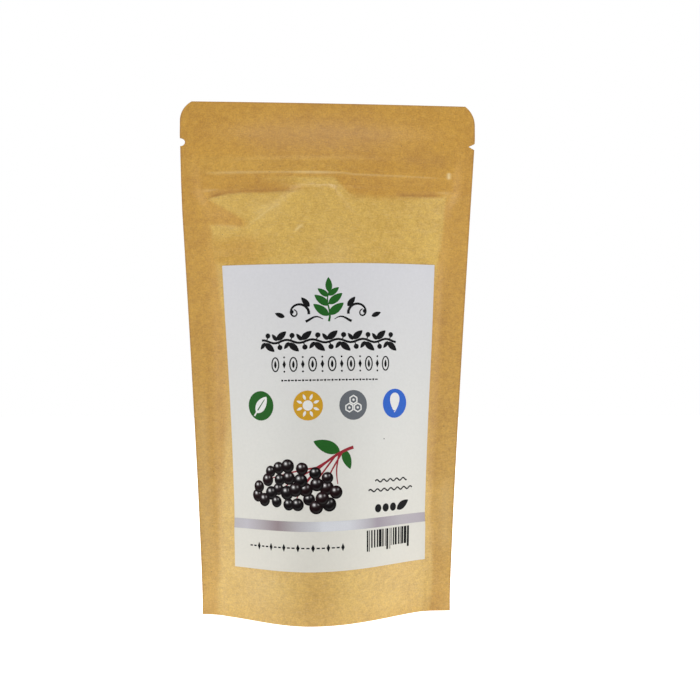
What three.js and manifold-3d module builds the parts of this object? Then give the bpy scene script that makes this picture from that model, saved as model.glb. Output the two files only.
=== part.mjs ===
// A stand-up pouch of kraft-paper laminate: two bulged panels over a folded bottom gusset, a press-to-close
// zip below the top seal, a paper label on the front, and the dried berries that fill it out.
// Millimetres, +Z up, the front faces -Y. The origin is on the table, midway across the pouch.
import * as THREE from 'three';
import { mergeVertices } from 'three/addons/utils/BufferGeometryUtils.js';
import Module from 'manifold-3d';

const wasm = await Module();
wasm.setup();

// ---- Driving dimensions ----
const pouchHeight = 220;
const pouchWidth = 130;        // across the flat top
const baseWidth = 106;         // from corner to corner of the opened base
const baseDepth = 52;          // from front to back of the opened base
const sheet = 0.4;             // thickness of the laminate
const seamGap = 0.25;          // left between two layers that are sealed together
const sealEdge = 0.885;        // where the side seals begin, as a share of the half width
const topSealHeight = 10;
const gussetLeg = 35;          // from the bottom edge up to the gusset's fold, when flat
const gussetSealHeight = 7;    // of the bottom seal at mid width; it climbs towards the corners

// The belly's cross-section at the base, in shares of the half width. The base opened unevenly: the front's
// left side runs out to its corner, and its right side stays pinched.
const frontBelly = { peak: -0.125, left: -1, right: 0.78, leftPower: 1.8, rightPower: 1.25 };
const backBelly = { peak: 0, left: -0.94, right: 0.94, leftPower: 1.6, rightPower: 1.6 };
const evenHeight = 110;        // from here up both bellies are even, with this power
const evenPower = 1.5;

const zipHeight = 188;         // of the closed rib above the table
const zipTapeHeight = 13;
const zipTape = 0.35;          // thickness of each tape
const zipPlay = 0.15;          // from each tape to the middle
const zipEdge = 0.84;          // where the zip's full thickness ends, as a share of the half width
const zipHalfLength = 52.5;
const zipHalfPack = 1.6;       // the closed rib holds the panels this far from the middle
const topBow = 6.3;            // how far the zip bows towards the front

const cornerRadius = 9.5;
const cornerDrop = 8.5;        // the corner's arc leaves the side this far below the top
const notchDrop = 18;          // tear notches, below the top edge
const notchDepth = 3.1;
const notchHeight = 3.5;

const labelWidth = 94;
const labelHeight = 126.8;
const labelSheet = 0.25;
const labelTilt = THREE.MathUtils.degToRad(0.5);
const labelBottom = 21.9;      // height of the middle of its lower edge
const labelShift = 1.6;        // its centre line, right of the pouch's, along the surface

const fillHeight = 108;        // of the heap of berries
const berryDiameter = 5;
const fillClearance = 0.6;     // to the panels
const fillLift = 3;            // above the gusset

const sealLine = pouchHeight - topSealHeight;
const tapeFoot = zipHeight - zipTapeHeight / 2;
const headerFoot = zipHeight + 8;   // above the zip, where the panels begin to close up

// ---- The pouch's form: u runs from -1 at the left edge to 1 at the right ----
const smooth = THREE.MathUtils.smoothstep;
const mix = THREE.MathUtils.lerp;

function halfWidth(z) {
  const share = THREE.MathUtils.clamp((z - 5) / 200, 0, 1);
  return mix(baseWidth / 2, pouchWidth / 2, share ** 1.16);
}

// Half of what the filled belly holds the panels apart, at its deepest.
function fullness(z) {
  const share = THREE.MathUtils.clamp((z - 20) / (zipHeight - 25), 0, 1);
  const deepest = baseDepth / 2 - sheet - seamHalf(z);
  return deepest * (1 - share ** 2.1);
}

// Half the gap between the panels where they are sealed: the gusset's two layers lie in it low down.
function seamHalf(z) {
  const withGusset = sheet + 1.5 * seamGap;
  return mix(withGusset, seamGap / 2, smooth(z, gussetLeg + 1, gussetLeg + 8));
}

// Cross-section of a panel's belly: 1 at its peak, 0 in the side seals. It evens out with height.
function bell(u, z, base) {
  const up = THREE.MathUtils.clamp(z / evenHeight, 0, 1);
  const peak = base.peak * (1 - THREE.MathUtils.clamp(z / zipHeight, 0, 1));
  const toLeft = u < peak;
  const edge = toLeft ? mix(base.left, -sealEdge, up) : mix(base.right, sealEdge, up);
  const power = mix(toLeft ? base.leftPower : base.rightPower, evenPower, up);
  const reach = Math.min((u - peak) / (edge - peak), 1);
  return Math.cos(reach * Math.PI / 2) ** power;
}

// The closed zip between the panels: a rib on a flat tape, with a little air above it.
function zipPack(u, z) {
  const tape = zipTape + zipPlay;
  const ends = 1 - smooth(Math.abs(u), zipEdge, sealEdge);
  const overTape = smooth(z, tapeFoot - 2.5, tapeFoot) * (1 - smooth(z, headerFoot, sealLine));
  const rib = Math.exp(-(((z - zipHeight) / 2.6) ** 2)) * (zipHalfPack - tape);
  return ends * (tape * overTape + rib);
}

// The middle surface bows forward at the zip and straightens again towards the top edge.
function middle(u, z) {
  const rise = smooth(z, 110, zipHeight);
  const settle = 1 - 0.84 * smooth(z, zipHeight + 3, pouchHeight);
  return -topBow * rise * settle * (1 - u * u);
}

function frontInner(u, z) {
  return middle(u, z) - seamHalf(z) - fullness(z) * bell(u, z, frontBelly) - zipPack(u, z);
}

function backInner(u, z) {
  return middle(u, z) + seamHalf(z) + fullness(z) * bell(u, z, backBelly) + zipPack(u, z);
}

// ---- Building closed solids ----
function toGeometry(corners, triangles) {
  const geometry = new THREE.BufferGeometry();
  geometry.setAttribute('position', new THREE.Float32BufferAttribute(corners, 3));
  geometry.setIndex(triangles);
  return geometry;
}

function toManifold(geometry) {
  const bare = geometry.clone();
  bare.deleteAttribute('normal');
  bare.deleteAttribute('uv');
  const merged = mergeVertices(bare, 1e-4);
  const vertProperties = new Float32Array(merged.attributes.position.array);
  const triVerts = new Uint32Array(merged.index.array);
  return new wasm.Manifold(new wasm.Mesh({ numProp: 3, vertProperties, triVerts }));
}

function fromManifold(solid) {
  const mesh = solid.getMesh();
  return toGeometry(Array.from(mesh.vertProperties), Array.from(mesh.triVerts));
}

// A sheet between two faces over the same grid: near is the one seen from -Y.
function sheetSolid(near, far, columns, rows) {
  const corners = [];
  for (const face of [near, far]) {
    for (const z of rows) {
      for (const u of columns) {
        corners.push(...face(u, z));
      }
    }
  }
  const across = columns.length;
  const up = rows.length;
  const at = (side, i, j) => side * across * up + j * across + i;
  const triangles = [];
  const quad = (a, b, c, d) => triangles.push(a, b, c, a, c, d);
  for (let j = 0; j < up - 1; j += 1) {
    for (let i = 0; i < across - 1; i += 1) {
      quad(at(0, i, j), at(0, i + 1, j), at(0, i + 1, j + 1), at(0, i, j + 1));
      quad(at(1, i, j), at(1, i, j + 1), at(1, i + 1, j + 1), at(1, i + 1, j));
    }
  }
  for (let i = 0; i < across - 1; i += 1) {
    quad(at(0, i, 0), at(1, i, 0), at(1, i + 1, 0), at(0, i + 1, 0));
    quad(at(0, i, up - 1), at(0, i + 1, up - 1), at(1, i + 1, up - 1), at(1, i, up - 1));
  }
  for (let j = 0; j < up - 1; j += 1) {
    quad(at(0, 0, j), at(0, 0, j + 1), at(1, 0, j + 1), at(1, 0, j));
    quad(at(0, across - 1, j), at(1, across - 1, j), at(1, across - 1, j + 1), at(0, across - 1, j + 1));
  }
  return toGeometry(corners, triangles);
}

// Sections stand side by side along X, each a loop that runs counterclockwise with Y right and Z up.
function sweptSolid(sections) {
  const around = sections[0].length;
  const corners = sections.flat(2);
  const triangles = [];
  for (let s = 0; s < sections.length - 1; s += 1) {
    for (let k = 0; k < around; k += 1) {
      const here = s * around + k;
      const next = s * around + (k + 1) % around;
      triangles.push(here, next, next + around, here, next + around, here + around);
    }
  }
  const last = (sections.length - 1) * around;
  for (const [start, flipped] of [[0, true], [last, false]]) {
    const outline = sections[start / around].map(([, y, z]) => new THREE.Vector2(y, z));
    for (const [a, b, c] of THREE.ShapeUtils.triangulateShape(outline, [])) {
      const order = flipped ? [a, c, b] : [a, b, c];
      triangles.push(...order.map((k) => start + k));
    }
  }
  return toGeometry(corners, triangles);
}

function spread(from, to, steps) {
  return Array.from({ length: steps + 1 }, (_, i) => mix(from, to, i / steps));
}

// ---- Grids: close rows at the seals and over the zip, wide ones elsewhere ----
const sealColumns = [sealEdge, (1 + sealEdge) / 2, 1];
const columns = [...sealColumns.map((u) => -u).reverse(), ...spread(-zipEdge, zipEdge, 20), ...sealColumns];
const rows = [
  0, 3.5, gussetSealHeight, 13, 20, 28, gussetLeg + 1, gussetLeg + 8,
  ...spread(56, 170, 9), tapeFoot - 2.5, tapeFoot, ...spread(zipHeight - 4, zipHeight + 4, 6),
  headerFoot, (headerFoot + sealLine) / 2, sealLine, (sealLine + pouchHeight) / 2, pouchHeight,
];

// ---- Panels ----
// The prisms that round off the top corners and nick the side edges run right through both panels.
function throughPrism(outline) {
  const shape = new THREE.Shape(outline.map(([x, z]) => new THREE.Vector2(x, z)));
  const depth = 40;
  const prism = new THREE.ExtrudeGeometry(shape, { depth, bevelEnabled: false });
  prism.rotateX(Math.PI / 2);
  prism.translate(0, depth / 2, 0);
  return toManifold(prism);
}

function cornerOutline(side) {
  const arcStart = pouchHeight - cornerDrop;
  const sweep = Math.asin(cornerDrop / cornerRadius);
  const arc = spread(0, sweep, 8).map((angle) => [
    side * (pouchWidth / 2 - cornerRadius * (1 - Math.cos(angle))),
    arcStart + cornerRadius * Math.sin(angle),
  ]);
  const beyondSide = side * (pouchWidth / 2 + 5);
  const beyondTop = pouchHeight + 5;
  return [...arc, [arc.at(-1)[0], beyondTop], [beyondSide, beyondTop], [beyondSide, arcStart]];
}

function notchOutline(side, pointed) {
  const z = pouchHeight - notchDrop;
  const edge = halfWidth(z);
  const nick = spread(-Math.PI / 2, Math.PI / 2, pointed ? 2 : 8).map((angle) => [
    side * (edge - notchDepth * Math.cos(angle)),
    z + notchHeight / 2 * Math.sin(angle),
  ]);
  return [...nick, [side * (edge + 4), z + notchHeight / 2], [side * (edge + 4), z - notchHeight / 2]];
}

function cutEdges(panel) {
  const cuts = [cornerOutline(-1), cornerOutline(1), notchOutline(-1, false), notchOutline(1, true)];
  const cut = cuts.reduce((solid, outline) => solid.subtract(throughPrism(outline)), toManifold(panel));
  return fromManifold(cut);
}

function makeFrontPanel() {
  const outer = (u, z) => [u * halfWidth(z), frontInner(u, z) - sheet, z];
  const inner = (u, z) => [u * halfWidth(z), frontInner(u, z), z];
  return cutEdges(sheetSolid(outer, inner, columns, rows));
}

function makeBackPanel() {
  const inner = (u, z) => [u * halfWidth(z), backInner(u, z), z];
  const outer = (u, z) => [u * halfWidth(z), backInner(u, z) + sheet, z];
  return cutEdges(sheetSolid(inner, outer, columns, rows));
}

// ---- Gusset: sealed to each panel up to an arc, then tented over to its fold ----
function gussetArc(u) {
  return mix(gussetSealHeight, gussetLeg - 2, Math.min(Math.abs(u) / sealEdge, 1) ** 2);
}

function gussetFold(u) {
  const arc = gussetArc(u);
  const freeLeg = gussetLeg - arc;
  const halfDepth = (backInner(u, arc) - frontInner(u, arc)) / 2 - seamGap;
  return arc + Math.sqrt(Math.max(freeLeg ** 2 - halfDepth ** 2, 0));
}

function makeGusset() {
  const hem = 0.4;
  const sections = columns.map((u) => {
    const arc = gussetArc(u);
    const fold = gussetFold(u);
    const heights = [hem, mix(hem, arc, 0.5), arc];
    const point = (y, z) => [u * halfWidth(z), y, z];
    const front = heights.map((z) => point(frontInner(u, z) + seamGap, z));
    const back = heights.map((z) => point(backInner(u, z) - seamGap, z));
    const lowered = (z) => (z === arc ? z - sheet / 2 : z);
    const underFront = heights.map((z) => point(frontInner(u, z) + seamGap + sheet, lowered(z)));
    const underBack = heights.map((z) => point(backInner(u, z) - seamGap - sheet, lowered(z)));
    const top = point(middle(u, fold), fold);
    const under = point(middle(u, fold), fold - 1.4 * sheet);
    return [...back, top, ...front.reverse(), ...underFront, under, ...underBack.reverse()];
  });
  return sweptSolid(sections);
}

// ---- Zip: each strip's section is given as [height above the rib, distance back from the middle] ----
const tapeEdge = zipTapeHeight / 2;
const tapeOutside = zipTape + zipPlay;
const archOutside = 1.35;
const tapeOutline = [
  [-tapeEdge, tapeOutside], [-2.6, tapeOutside], [-1.6, archOutside], [1.6, archOutside], [2.6, tapeOutside],
  [tapeEdge, tapeOutside], [tapeEdge, zipPlay], [2.4, zipPlay],
];
const ribOutline = [[1.3, 1.0], [0.35, 1.0], [0.35, -0.1], [0.7, -0.25], [0.3, -0.75]];
const clawOutline = [
  [1.3, 0.9], [1.3, -0.45], [0.65, -0.35], [0.65, -0.1], [0.95, 0.0], [0.95, 1.0],
];

// Both strips are even about the rib's height: a tape arched away from the middle, and what it carries.
function stripSection(carried, side) {
  const lower = [...carried].reverse().map(([height, back]) => [-height, back]);
  const outline = [...tapeOutline, ...carried, ...lower, [-2.4, zipPlay], [-tapeEdge, zipPlay]];
  return outline.map(([height, back]) => [height, side * back]);
}

function makeZipStrip(section) {
  const outline = section.map(([height, back]) => new THREE.Vector2(back, height));
  const loop = THREE.ShapeUtils.isClockWise(outline) ? section.toReversed() : section;
  const sections = spread(-zipHalfLength, zipHalfLength, 18).map((x) => loop.map(([height, back]) => {
    const z = zipHeight + height;
    return [x, middle(x / halfWidth(z), z) + back, z];
  }));
  return sweptSolid(sections);
}

// ---- Label: a flat rectangle laid on the front panel, measured along the surface ----
function frontPoint(u, z, off) {
  const y = (uu, zz) => frontInner(uu, zz) - sheet;
  const step = 0.01;
  const dx = step * halfWidth(z);
  const slopeX = (y(u + step, z) - y(u - step, z)) / (2 * dx);
  const slopeZ = (y(u, z + 1) - y(u, z - 1)) / 2;
  const normal = new THREE.Vector3(slopeX, -1, slopeZ).normalize();
  return new THREE.Vector3(u * halfWidth(z), y(u, z), z).addScaledVector(normal, off);
}

// The place across the front that lies this far from the centre line along the surface.
function acrossFront(arc, z) {
  const step = Math.sign(arc) * 0.005;
  let u = 0;
  let walked = 0;
  while (walked < Math.abs(arc)) {
    const dx = step * halfWidth(z);
    const dy = frontInner(u + step, z) - frontInner(u, z);
    walked += Math.hypot(dx, dy);
    u += step;
  }
  return u;
}

function makeLabel() {
  const gap = 0.45;
  const place = (across, up, off) => {
    const arc = labelShift + across * Math.cos(labelTilt) - up * Math.sin(labelTilt);
    const foot = labelBottom + across * Math.sin(labelTilt);
    const length = up * Math.cos(labelTilt);
    const u = acrossFront(arc, foot + length);
    const leanBack = frontInner(u, foot + length) - frontInner(u, foot);
    return frontPoint(u, foot + Math.sqrt(length ** 2 - leanBack ** 2), off).toArray();
  };
  const outer = (across, up) => place(across, up, gap + labelSheet);
  const inner = (across, up) => place(across, up, gap);
  return sheetSolid(outer, inner, spread(-labelWidth / 2, labelWidth / 2, 20), spread(0, labelHeight, 12));
}

// ---- Berries: one body that the belly shapes, with loose ones standing out of its top ----
function heapTop(u, across) {
  return fillHeight - 16 * u * u - 5 * across * across;
}

function makeBerries() {
  const wallSteps = [0, 0.25, 0.5, 0.75, 1];
  const topSteps = [0.75, 0.5, 0.25, 0, -0.25, -0.5, -0.75];
  const sections = columns.filter((u) => u > -0.77 && u < 0.7).map((u) => {
    const foot = gussetArc(u) + fillLift;
    const point = (y, z) => [u * halfWidth(z), y, z];
    const shoulder = heapTop(u, 1);
    const heights = wallSteps.map((share) => mix(foot, shoulder, share));
    const back = heights.map((z) => point(backInner(u, z) - sheet - fillClearance, z));
    const front = heights.map((z) => point(frontInner(u, z) + sheet + fillClearance, z));
    const top = topSteps.map((across) => {
      const edge = across > 0 ? back.at(-1)[1] : front.at(-1)[1];
      return point(mix(middle(u, shoulder), edge, Math.abs(across)), heapTop(u, across));
    });
    const keel = point(middle(u, foot), gussetFold(u) + fillLift);
    return [keel, ...back, ...top, ...front.reverse()];
  });
  let heap = toManifold(sweptSolid(sections));
  for (const berry of looseBerries()) {
    heap = heap.add(toManifold(berry));
  }
  return fromManifold(heap);
}

// Berries sit in rows on the heap, each pushed off its place and turned by a seeded draw.
function looseBerries() {
  let seed = 7;
  const draw = () => {
    seed = (seed * 16807) % 2147483647;
    return seed / 2147483647;
  };
  const berries = [];
  for (const u of spread(-0.56, 0.56, 8)) {
    for (const across of spread(-0.66, 0.66, 5)) {
      const shiftU = u + 0.05 * (draw() - 0.5);
      const shiftAcross = across + 0.1 * (draw() - 0.5);
      const z = heapTop(shiftU, shiftAcross) + 0.6;
      const edge = shiftAcross > 0 ? backInner(shiftU, z) : frontInner(shiftU, z);
      const berry = new THREE.IcosahedronGeometry(berryDiameter / 2, 0);
      berry.scale(1, 1, 0.85);
      berry.rotateZ(draw() * Math.PI);
      berry.rotateX(draw() * Math.PI);
      berry.translate(shiftU * halfWidth(z), mix(middle(shiftU, z), edge, Math.abs(shiftAcross)), z);
      berries.push(berry);
    }
  }
  return berries;
}

// ---- Materials and assembly ----
const kraft = new THREE.MeshStandardMaterial({ color: 0xc69c5c, roughness: 0.62, metalness: 0 });
const kraftShade = new THREE.MeshStandardMaterial({ color: 0xba9052, roughness: 0.66, metalness: 0 });
const labelPaper = new THREE.MeshStandardMaterial({ color: 0xdcdad4, roughness: 0.5, metalness: 0 });
const zipPlastic = new THREE.MeshStandardMaterial({ color: 0xe6e4dc, roughness: 0.35, metalness: 0 });
const driedBerry = new THREE.MeshStandardMaterial({ color: 0x1f1420, roughness: 0.7, metalness: 0 });

function piece(name, geometry, material) {
  geometry.computeVertexNormals();
  const mesh = new THREE.Mesh(geometry, material);
  mesh.name = name;
  return mesh;
}

const pouch = new THREE.Group();
pouch.name = 'kraft_pouch';
pouch.add(
  piece('front_panel', makeFrontPanel(), kraft),
  piece('back_panel', makeBackPanel(), kraft),
  piece('bottom_gusset', makeGusset(), kraftShade),
  piece('zip_rib_strip', makeZipStrip(stripSection(ribOutline, -1)), zipPlastic),
  piece('zip_groove_strip', makeZipStrip(stripSection(clawOutline, 1)), zipPlastic),
  piece('front_label', makeLabel(), labelPaper),
  piece('dried_berries', makeBerries(), driedBerry),
);

export default pouch;
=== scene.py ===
import bpy
import random
import numpy as np
from math import ceil, cos, hypot, pi, radians, sin, sqrt
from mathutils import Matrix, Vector, noise


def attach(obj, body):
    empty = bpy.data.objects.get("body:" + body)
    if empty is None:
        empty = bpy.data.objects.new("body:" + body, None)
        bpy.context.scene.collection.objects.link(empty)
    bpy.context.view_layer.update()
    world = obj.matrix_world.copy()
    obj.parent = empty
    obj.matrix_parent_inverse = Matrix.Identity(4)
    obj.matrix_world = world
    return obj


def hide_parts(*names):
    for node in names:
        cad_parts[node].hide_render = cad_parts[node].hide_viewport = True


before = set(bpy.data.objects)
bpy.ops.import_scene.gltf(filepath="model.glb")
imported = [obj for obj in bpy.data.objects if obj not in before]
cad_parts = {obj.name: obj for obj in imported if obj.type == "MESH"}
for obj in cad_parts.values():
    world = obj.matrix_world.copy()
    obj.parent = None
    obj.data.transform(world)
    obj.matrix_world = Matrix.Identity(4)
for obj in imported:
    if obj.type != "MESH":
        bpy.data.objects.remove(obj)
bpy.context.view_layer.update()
print("frame loaded:", sorted(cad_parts))

mm = 0.001

# The pouch's form in millimetres: u runs from -1 at the left edge to 1 at the right, z up from the table
pouch = {
    "height": 220, "topWidth": 130, "baseWidth": 106, "baseDepth": 52,
    "flare": (5, 200, 1.16),            # the sides start to part here, over this height, with this power
    "sheet": 0.4, "paper": 0.2,         # thickness of the frame's solid panels, and of those made here
    "seamHalf": (0.775, 0.125),         # half the gap between the sheets, around the gusset and above it
    "seamFade": (36, 43),
    "gussetLeg": 35, "gussetArc": (7, 33),      # the bottom seal rises from the middle to the sides
    "sealEdge": 0.885,
    "filling": (20, 183, 2.1),          # the belly thins from here up to here, with this power
    "evenHeight": 110, "evenPower": 1.5,        # above this both halves of the belly are alike
    "topBow": 6.3, "bowFoot": 110, "bowEase": (0.84, 191),    # the top seal bows forward, and eases above
    "zipHeight": 188, "zipTape": 0.5, "zipHalfPack": 1.6, "zipReach": 2.6, "zipEdge": 0.84,
    "tape": (179, 181.5, 196, 210),
    "bellies": {                        # the front's, then the back's
        True: {"peak": -0.125, "left": -1, "right": 0.78, "leftPower": 1.8, "rightPower": 1.25},
        False: {"peak": 0, "left": -0.94, "right": 0.94, "leftPower": 1.6, "rightPower": 1.6},
    },
}


def mix(a, b, share):
    return a + (b - a) * share


def smooth(value, start, end):
    share = np.clip((value - start) / (end - start), 0, 1)
    return share * share * (3 - 2 * share)


# Rises from 0 to 1 over the first two places and falls back over the last two
def window(value, start, whole, fall, end):
    return smooth(value, start, whole) * (1 - smooth(value, fall, end))


def hump(value, centre, reach):
    return np.exp(-((value - centre) / reach) ** 2)


def halfWidth(z):
    foot, rise, power = pouch["flare"]
    share = np.clip((z - foot) / rise, 0, 1)
    return mix(pouch["baseWidth"] / 2, pouch["topWidth"] / 2, share ** power)


def seamHalf(z):
    return mix(*pouch["seamHalf"], smooth(z, *pouch["seamFade"]))


def fullness(z):
    foot, top, power = pouch["filling"]
    share = np.clip((z - foot) / (top - foot), 0, 1)
    return (pouch["baseDepth"] / 2 - pouch["sheet"] - seamHalf(z)) * (1 - share ** power)


def bell(u, z, belly):
    up = np.clip(z / pouch["evenHeight"], 0, 1)
    peak = belly["peak"] * (1 - np.clip(z / pouch["zipHeight"], 0, 1))
    toLeft = u < peak
    seal = pouch["sealEdge"]
    edge = np.where(toLeft, mix(belly["left"], -seal, up), mix(belly["right"], seal, up))
    power = mix(np.where(toLeft, belly["leftPower"], belly["rightPower"]), pouch["evenPower"], up)
    reach = np.clip((u - peak) / (edge - peak), 0, 1)
    return np.clip(np.cos(reach * np.pi / 2), 0, 1) ** power


def middle(u, z):
    ease, easeFoot = pouch["bowEase"]
    settle = 1 - ease * smooth(z, easeFoot, pouch["height"])
    return -pouch["topBow"] * smooth(z, pouch["bowFoot"], pouch["zipHeight"]) * settle * (1 - u * u)


def zipPack(u, z):
    ends = 1 - smooth(np.abs(u), pouch["zipEdge"], pouch["sealEdge"])
    rib = hump(z, pouch["zipHeight"], pouch["zipReach"]) * (pouch["zipHalfPack"] - pouch["zipTape"])
    return ends * (pouch["zipTape"] * window(z, *pouch["tape"]) + rib)


def standOff(u, z, front):
    return seamHalf(z) + fullness(z) * bell(u, z, pouch["bellies"][front]) + zipPack(u, z)


# How far either panel's solid outer face stands from the pouch's middle surface
def cadOuter(u, z, front):
    return standOff(u, z, front) + pouch["sheet"]


# Lengths along either panel's surface from its middle line, for rows of z and columns of u
tableU = np.linspace(-1, 1, 801)
tableZ = np.arange(0, pouch["height"] + 1.0)


def arcTable(front):
    u, z = np.meshgrid(tableU, tableZ)
    side = -1 if front else 1
    y = middle(u, z) + side * cadOuter(u, z, front)
    x = u * halfWidth(z)
    steps = np.hypot(np.diff(x, axis=1), np.diff(y, axis=1))
    arcs = np.concatenate([np.zeros((len(tableZ), 1)), np.cumsum(steps, axis=1)], axis=1)
    return arcs - arcs[:, [len(tableU) // 2]]


arcTables = {True: arcTable(True), False: arcTable(False)}


def arcAt(u, z, front=True):
    table = arcTables[front]
    col = np.clip((u + 1) / 2 * (len(tableU) - 1), 0, len(tableU) - 1.001)
    row = np.clip(z, 0, len(tableZ) - 1.001)
    i, j = col.astype(int), row.astype(int)
    fu, fz = col - i, row - j
    low = mix(table[j, i], table[j, i + 1], fu)
    return mix(low, mix(table[j + 1, i], table[j + 1, i + 1], fu), fz)


label = {
    "width": 94, "height": 126.8, "tilt": radians(0.67), "bottom": 21.9, "shift": 1.98,
    "narrowing": 0.016,             # the foot is drawn in by this share where the belly is fullest
    "pad": 0.42, "padSpan": (21.4, 148.1, 5),       # the panel comes up this far behind the label
    "lift": 0.5, "paper": 0.16,     # from the solid panel's face, and the label's own thickness
    "columns": 96, "rows": 128,
}


# Turns places on the flat label into points over the front panel, at a height above the panel's solid face
def onLabel(across, up, lift):
    cosT, sinT = cos(label["tilt"]), sin(label["tilt"])
    across = across * (1 - label["narrowing"] * (1 - up / label["height"]))
    arc = label["shift"] + across * cosT - up * sinT
    foot = label["bottom"] + across * sinT
    length = up * cosT
    level = foot + length
    low, high = -np.ones_like(arc), np.ones_like(arc)
    halvings = 26
    for _ in range(halvings):
        u = (low + high) / 2
        short = arcAt(u, level) < arc
        low, high = np.where(short, u, low), np.where(short, high, u)
    inner = lambda z: middle(u, z) - standOff(u, z, True)
    z = foot + np.sqrt(np.maximum(length ** 2 - (inner(level) - inner(foot)) ** 2, 0))
    outer = lambda uu, zz: middle(uu, zz) - cadOuter(uu, zz, True)
    stepU, stepZ = 0.01, 1
    slopeX = (outer(u + stepU, z) - outer(u - stepU, z)) / (2 * stepU * halfWidth(z))
    slopeZ = (outer(u, z + stepZ) - outer(u, z - stepZ)) / (2 * stepZ)
    normal = np.stack([slopeX, -np.ones_like(z), slopeZ])
    normal /= np.linalg.norm(normal, axis=0)
    return np.stack([u * halfWidth(z), outer(u, z), z]) + normal * lift


# How much of the label lies over a place of the front: 1 under it, 0 a few millimetres outside
def underLabel(u, z):
    length = np.maximum(z - label["bottom"], 0)
    across = arcAt(u, z) - label["shift"] + length * sin(label["tilt"])
    half, (foot, top, fade) = label["width"] / 2, label["padSpan"]
    return (1 - smooth(np.abs(across), half, half + fade)) * window(z, foot - fade, foot, top, top + fade)


# Working with meshes
def deselectAll():
    if bpy.context.mode != "OBJECT":
        bpy.ops.object.mode_set(mode="OBJECT")
    bpy.ops.object.select_all(action="DESELECT")


def selectOnly(piece):
    deselectAll()
    bpy.context.view_layer.objects.active = piece
    piece.select_set(True)


def namePiece(name):
    piece = bpy.context.object
    piece.name = name
    piece.data.name = name
    return piece


def coordsOf(piece):
    co = np.zeros(len(piece.data.vertices) * 3)
    piece.data.vertices.foreach_get("co", co)
    return co.reshape(-1, 3)


def setCoords(piece, x, y, z, scale=1):
    co = np.stack([x, y, z], axis=1) * scale
    piece.data.vertices.foreach_set("co", co.astype(np.float32).ravel())
    piece.data.update()


# A flat blank in columns and rows; returns each vertex's column and row
def addBlank(name, columns, rows):
    deselectAll()
    bpy.ops.mesh.primitive_grid_add(x_subdivisions=columns - 1, y_subdivisions=rows - 1, size=1)
    piece = namePiece(name)
    co = coordsOf(piece)
    column = np.rint((co[:, 0] + 0.5) * (columns - 1)).astype(int)
    row = np.rint((co[:, 1] + 0.5) * (rows - 1)).astype(int)
    return piece, column, row


# Even steps from each place to the next
def stations(places, counts):
    line = []
    for start, end, count in zip(places, places[1:], counts):
        line += [mix(start, end, k / count) for k in range(count)]
    return np.array(line + [places[-1]])


# Gives a sheet its materials, the last for its cut edge, and its thickness
def thicken(piece, thickness, offset, *materials):
    for material in materials:
        piece.data.materials.append(material)
    selectOnly(piece)
    modifier = piece.modifiers.new("Solidify", "SOLIDIFY")
    modifier.thickness = thickness * mm
    modifier.offset = offset
    modifier.use_even_offset = False
    modifier.material_offset_rim = len(materials) - 1
    bpy.ops.object.modifier_apply(modifier=modifier.name)


def shadeSmooth():
    bpy.ops.object.shade_smooth_by_angle(angle=radians(50))


def setUv(piece, across, up):
    owner = np.zeros(len(piece.data.loops), dtype=np.int32)
    piece.data.loops.foreach_get("vertex_index", owner)
    uvs = np.stack([across, up], axis=1)[owner]
    piece.data.uv_layers[0].data.foreach_set("uv", uvs.astype(np.float32).ravel())


# Materials
def plug(tree, socket, value):
    if isinstance(value, bpy.types.NodeSocket):
        tree.links.new(value, socket)
    else:
        socket.default_value = value


# Sets a shader's inputs by their names
def feed(tree, shader, **values):
    for key, value in values.items():
        plug(tree, shader.inputs[key.replace("_", " ")], value)


def newMaterial(name, **values):
    material = bpy.data.materials.new(name)
    material.use_nodes = True
    tree = material.node_tree
    shader = tree.nodes["Principled BSDF"]
    feed(tree, shader, **values)
    return material, tree, shader


def node(tree, kind, inputs=None, **values):
    made = tree.nodes.new("ShaderNode" + kind)
    for key, value in values.items():
        setattr(made, key, value)
    for key, value in (inputs or {}).items():
        plug(tree, made.inputs[key], value)
    return made


def objectPlace(tree):
    return node(tree, "TexCoord").outputs["Object"]


def calc(tree, operation, first, second=0.0):
    return node(tree, "Math", {0: first, 1: second}, operation=operation).outputs[0]


# A value with others added to it, each times its weight
def addParts(tree, total, parts):
    for value, weight in parts:
        total = calc(tree, "ADD", total, calc(tree, "MULTIPLY", value, weight))
    return total


def grainAt(tree, place, scale, detail, roughness=0.5):
    inputs = {"Vector": place, "Scale": float(scale), "Detail": detail, "Roughness": roughness}
    return node(tree, "TexNoise", inputs).outputs["Fac"]


# Turns a value that runs from start to end into one that runs from low to high
def between(tree, value, low, high, start=0.0, end=1.0):
    inputs = {"Value": value, "From Min": start, "From Max": end, "To Min": low, "To Max": high}
    return node(tree, "MapRange", inputs).outputs[0]


def ramp(tree, factor, stops):
    made = node(tree, "ValToRGB", {"Fac": factor})
    elements = made.color_ramp.elements
    while len(elements) < len(stops):
        elements.new(0.5)
    for element, (place, color) in zip(elements, stops):
        element.position = place
        element.color = (*color, 1) if isinstance(color, tuple) else (color, color, color, 1)
    return made.outputs["Color"]


def blendColors(tree, kind, factor, first, second):
    made = node(tree, "Mix", data_type="RGBA", blend_type=kind)
    for socket, value in ((0, factor), (6, first), (7, second)):
        plug(tree, made.inputs[socket], value)
    return made.outputs[2]


def addBump(tree, shader, height, strength, distance):
    bump = node(tree, "Bump", {"Height": height, "Strength": strength, "Distance": distance})
    feed(tree, shader, Normal=bump.outputs[0])


# Fine specks darken a color down to a share of it
def speckle(tree, color, grain, darkest):
    return blendColors(tree, "MULTIPLY", 1.0, color, ramp(tree, grain, [(0.3, darkest), (0.7, 1.0)]))


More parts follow.
